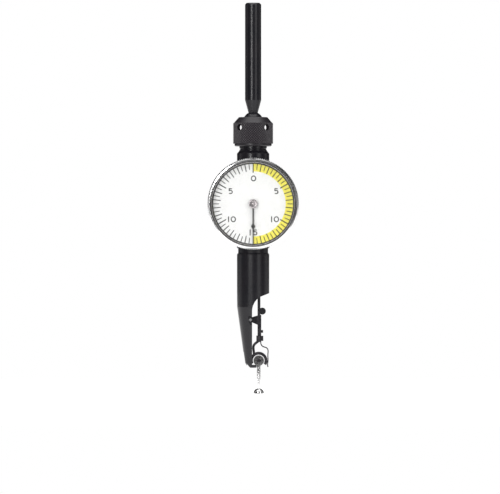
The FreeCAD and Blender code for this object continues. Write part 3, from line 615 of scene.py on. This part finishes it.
def digit(figure, x, z):
    """Plain geometric figures 0, 1 and 5 about their own centre."""
    half = (DIGIT_HEIGHT - DIGIT_STROKE) / 2
    if figure == "0":
        turns = [2 * math.pi * point / ZERO_POINTS for point in range(ZERO_POINTS)]
        ring = [(x + ZERO_NARROW * half * math.cos(t), z + half * math.sin(t)) for t in turns]
        return [thick_line(ring, DIGIT_STROKE, "figure_0", True)]
    if figure == "1":
        end = half + DIGIT_STROKE / 2
        return [thick_line([(x, z - end), (x, z + end)], DIGIT_STROKE, "figure_1")]
    centre = (x + BOWL_SHIFT, z - half + BOWL)
    arc = [(centre[0] + BOWL_WIDE * BOWL * math.cos(math.radians(a)),
            centre[1] + BOWL * math.sin(math.radians(a))) for a in BOWL_TURNS]
    stem = (x + FIVE_LEFT, z + half)
    stem_foot = (stem[0] - STEM_LEAN, centre[1] + STEM_END * BOWL)
    bowl_start = (stem[0] - BOWL_START_LEFT, centre[1] + BOWL_START_UP * BOWL)
    return [thick_line([(x + FIVE_RIGHT, z + half), (stem[0] - DIGIT_STROKE / 2, stem[1])],
                       DIGIT_STROKE, "figure_5_bar"),
            thick_line([stem, stem_foot], DIGIT_STROKE * STEM_STROKE, "figure_5_stem"),
            thick_line([bowl_start] + arc[1:], DIGIT_STROKE, "figure_5_bowl")]


# (figure, x, z) about the dial centre
FIGURES = (
    ("0", 0.12, 7.47), ("5", -6.62, 3.72), ("5", 6.80, 3.72),
    ("1", -7.22, -4.52), ("0", -5.82, -4.52), ("1", 5.42, -4.52), ("0", 6.82, -4.52),
    ("1", -0.88, -8.40), ("5", 0.62, -8.40),
)

# Black ring round the edge of the dial, just inside the bezel's opening; its inner edge overlaps
# the outer ends of the divisions.
dark_edge_ring = printed(on_dial(circle(RING_OUTER)), [on_dial(circle(TICK_OUTER - RING_LAP))],
                     "dial_ring", 3 * INK)
band_outline = circle(TICK_OUTER, 60, start=-90, sweep=180)
band_outline += circle(BAND_INNER, 60, start=-90, sweep=180)[::-1]
piece("dial_yellow_band", printed(on_dial(band_outline), [], "dial_yellow_band"),
      YELLOW_INK, "bezel", 0)
piece("dial_dark_ring", dark_edge_ring, BLACK_INK, "bezel", 0)
piece("dial_divisions", ticks(), BLACK_INK, "bezel", 0)
figures = [mesh for figure in FIGURES for mesh in digit(*figure)]
piece("dial_figures", join(figures, "dial_figures"), BLACK_INK, "bezel", 0)


# ---------------------------------------------------------------- boss of the hand
# (radius, place behind the front of the hand) in millimetres, from the arbor's end outwards
CAP_PROFILE = (
    (0.0, -0.16), (0.26, -0.16), (0.34, -0.10), (0.36, -0.02), (0.62, -0.015), (0.95, -0.07),
    (1.18, -0.10), (1.31, -0.02), (1.34, 0.12), (1.34, 0.34), (1.30, 0.34), (1.30, 0.0),
)
CAP_COLUMNS = 72
CAP_SMOOTH = 40.0


def hand_cap():
    """Pressed metal cap over the boss: rounded rim, shallow dish and the arbor's end."""
    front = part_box("hand")[0].y / MM
    points, faces = [], []
    length = len(CAP_PROFILE)
    for column in range(CAP_COLUMNS):
        turn = 2 * math.pi * column / CAP_COLUMNS
        for radius, behind in CAP_PROFILE:
            points.append((radius * math.cos(turn), front + behind,
                           DIAL_Z + radius * math.sin(turn)))
    for column in range(CAP_COLUMNS):
        across = (column + 1) % CAP_COLUMNS
        for index in range(length - 1):
            faces.append((column * length + index, column * length + index + 1,
                          across * length + index + 1, across * length + index))
    return mesh_of(points, faces, "hand_cap")


piece("hand_cap", hand_cap(), BOSS_METAL, "hand", CAP_SMOOTH)


# ---------------------------------------------------------------- stage, light and camera
PIXEL = 0.2953 * MM
IMAGE_WIDTH = 500
SENSOR = 36.0
VIEW_DISTANCE = 1.5
VIEW_LEFT, VIEW_BELOW_DIAL = 0.92, 12.67
CAMERA_AT = Vector((-VIEW_LEFT * MM, -VIEW_DISTANCE, DIAL.z - VIEW_BELOW_DIAL * MM))
CLIP_END = 20.0
FLOOR_LEVEL = CAD_BOX[0][2] - 0.2 * MM
FLOOR_HALF = 0.22
FLOOR_GLOW = 0.78
# What gloss sees of the world: dark ahead of the dial to light behind it, and lighter overhead.
AHEAD_FROM, AHEAD_LEVELS = (-0.15, 0.55), (0.05, 1.0)
UP_FROM, UP_LEVELS = (0.35, 0.75), (0.0, 0.6)
WORLD_LEVEL = 0.72
WHITE = 1.0
# (name, place, size, point it faces) in metres
FLAGS = (
    ("flag_left", (-0.26, 0.30, 0.17), (0.50, 0.55), (0, 0, 0.0)),
    ("flag_right", (0.26, 0.30, 0.17), (0.50, 0.55), (0, 0, 0.0)),
    ("flag_low", (-0.10, -0.16, -0.07), (0.14, 0.06), (0, 0, -0.1)),
)
# (name, place, size, watts) in metres; every lamp faces LIGHT_AIM
LIGHT_AIM = (0, 0, -0.05)
LIGHTS = (
    ("key", (-0.20, -0.55, 0.02), (0.05, 0.55), 1.5),
    ("fill", (0.45, -0.5, 0.15), (0.30, 0.5), 0.8),
    ("top", (0.0, -0.1, 0.6), (0.6, 0.5), 1.6),
    ("back", (0.1, 0.5, 0.25), (0.6, 0.5), 0.5),
)


def facing(place, aim):
    return (Vector(aim) - Vector(place)).to_track_quat("-Z", "Y").to_euler()


def white_stage(name):
    """Pale floor that shows white to the eye and to gloss, and keeps the object's shadow."""
    s = Shader(name, Roughness=0.9, Specular_IOR_Level=0.0)
    path = s.node("LightPath")
    through = s.math("MAXIMUM", path.outputs["Is Glossy Ray"],
                     path.outputs["Is Transmission Ray"])
    seen = s.math("MAXIMUM", path.outputs["Is Camera Ray"], through)
    grain = s.noise(s.position(), 0.02, 3)
    color = s.mix(grain, rgb(0.46, 0.46, 0.46), rgb(0.48, 0.48, 0.48))
    s.bsdf.inputs["Emission Color"].default_value = rgb(1, 1, 1)
    s.put(s.bsdf.inputs["Emission Strength"], s.math("MULTIPLY", seen, FLOOR_GLOW))
    return s.finish(color)


def floor():
    mesh = bpy.data.meshes.new("floor")
    corners = [(x * FLOOR_HALF, y * FLOOR_HALF, FLOOR_LEVEL)
               for x, y in ((-1, -1), (1, -1), (1, 1), (-1, 1))]
    mesh.from_pydata(corners, [], [(0, 1, 2, 3)])
    made = bpy.data.objects.new("floor", mesh)
    bpy.context.scene.collection.objects.link(made)
    mesh.materials.append(white_stage("stage_white"))


def world():
    """White to the eye; for gloss a pale studio with a dark side low in front."""
    made = bpy.data.worlds.new("studio")
    bpy.context.scene.world = made
    made.use_nodes = True
    tree = made.node_tree
    tree.nodes.clear()
    new = tree.nodes.new
    link = tree.links.new
    path = new("ShaderNodeLightPath")
    coords = new("ShaderNodeTexCoord")
    split = new("ShaderNodeSeparateXYZ")
    link(coords.outputs["Generated"], split.inputs[0])

    def ramp(source, limits, levels):
        node = new("ShaderNodeMapRange")
        for socket, value in zip(("From Min", "From Max", "To Min", "To Max"), limits + levels):
            node.inputs[socket].default_value = value
        link(source, node.inputs["Value"])
        return node.outputs[0]

    def larger(first, second):
        node = new("ShaderNodeMath")
        node.operation = "MAXIMUM"
        link(first, node.inputs[0])
        link(second, node.inputs[1])
        return node.outputs[0]

    gloss = larger(ramp(split.outputs["Y"], AHEAD_FROM, AHEAD_LEVELS),
                   ramp(split.outputs["Z"], UP_FROM, UP_LEVELS))
    level = new("ShaderNodeMix")
    level.inputs[2].default_value = WORLD_LEVEL
    link(path.outputs["Is Glossy Ray"], level.inputs[0])
    link(gloss, level.inputs[3])
    final = new("ShaderNodeMix")
    final.inputs[3].default_value = WHITE
    link(larger(path.outputs["Is Camera Ray"], path.outputs["Is Transmission Ray"]),
         final.inputs[0])
    link(level.outputs[0], final.inputs[2])
    background = new("ShaderNodeBackground")
    background.inputs["Color"].default_value = rgb(1, 1, 1)
    link(final.outputs[0], background.inputs["Strength"])
    output = new("ShaderNodeOutputWorld")
    link(background.outputs[0], output.inputs["Surface"])


def dark_card(name, place, size, aim):
    """Black flag that only gloss sees: it gives the metal its dark edges."""
    half_x, half_z = size[0] / 2, size[1] / 2
    mesh = bpy.data.meshes.new(name)
    corners = [(-half_x, -half_z, 0), (half_x, -half_z, 0),
               (half_x, half_z, 0), (-half_x, half_z, 0)]
    mesh.from_pydata(corners, [], [(0, 1, 2, 3)])
    made = bpy.data.objects.new(name, mesh)
    bpy.context.scene.collection.objects.link(made)
    made.location = place
    made.rotation_euler = facing(place, aim)
    s = Shader(name, Specular_IOR_Level=0.0)
    cloth = s.noise(s.position(), 0.3, 3)
    color = s.mix(cloth, rgb(0.004, 0.004, 0.004), rgb(0.008, 0.008, 0.008))
    mesh.materials.append(s.finish(color, 1.0))
    made.visible_camera = False
    made.visible_diffuse = False
    made.visible_shadow = False
    made.visible_transmission = False


def area_light(name, place, size, power):
    data = bpy.data.lights.new(name, "AREA")
    data.shape = "RECTANGLE"
    data.size, data.size_y = size
    data.energy = power
    made = bpy.data.objects.new(name, data)
    bpy.context.scene.collection.objects.link(made)
    made.location = place
    made.rotation_euler = facing(place, LIGHT_AIM)


def camera():
    data = bpy.data.cameras.new("camera")
    data.sensor_width = SENSOR
    data.lens = SENSOR * VIEW_DISTANCE / (IMAGE_WIDTH * PIXEL)
    data.clip_end = CLIP_END
    made = bpy.data.objects.new("camera", data)
    bpy.context.scene.collection.objects.link(made)
    made.location = CAMERA_AT
    made.rotation_euler = (math.radians(90), 0, 0)
    bpy.context.scene.camera = made


floor()
world()
for flag in FLAGS:
    dark_card(*flag)
for light in LIGHTS:
    area_light(*light)
camera()
bpy.context.scene.view_settings.view_transform = "Standard"
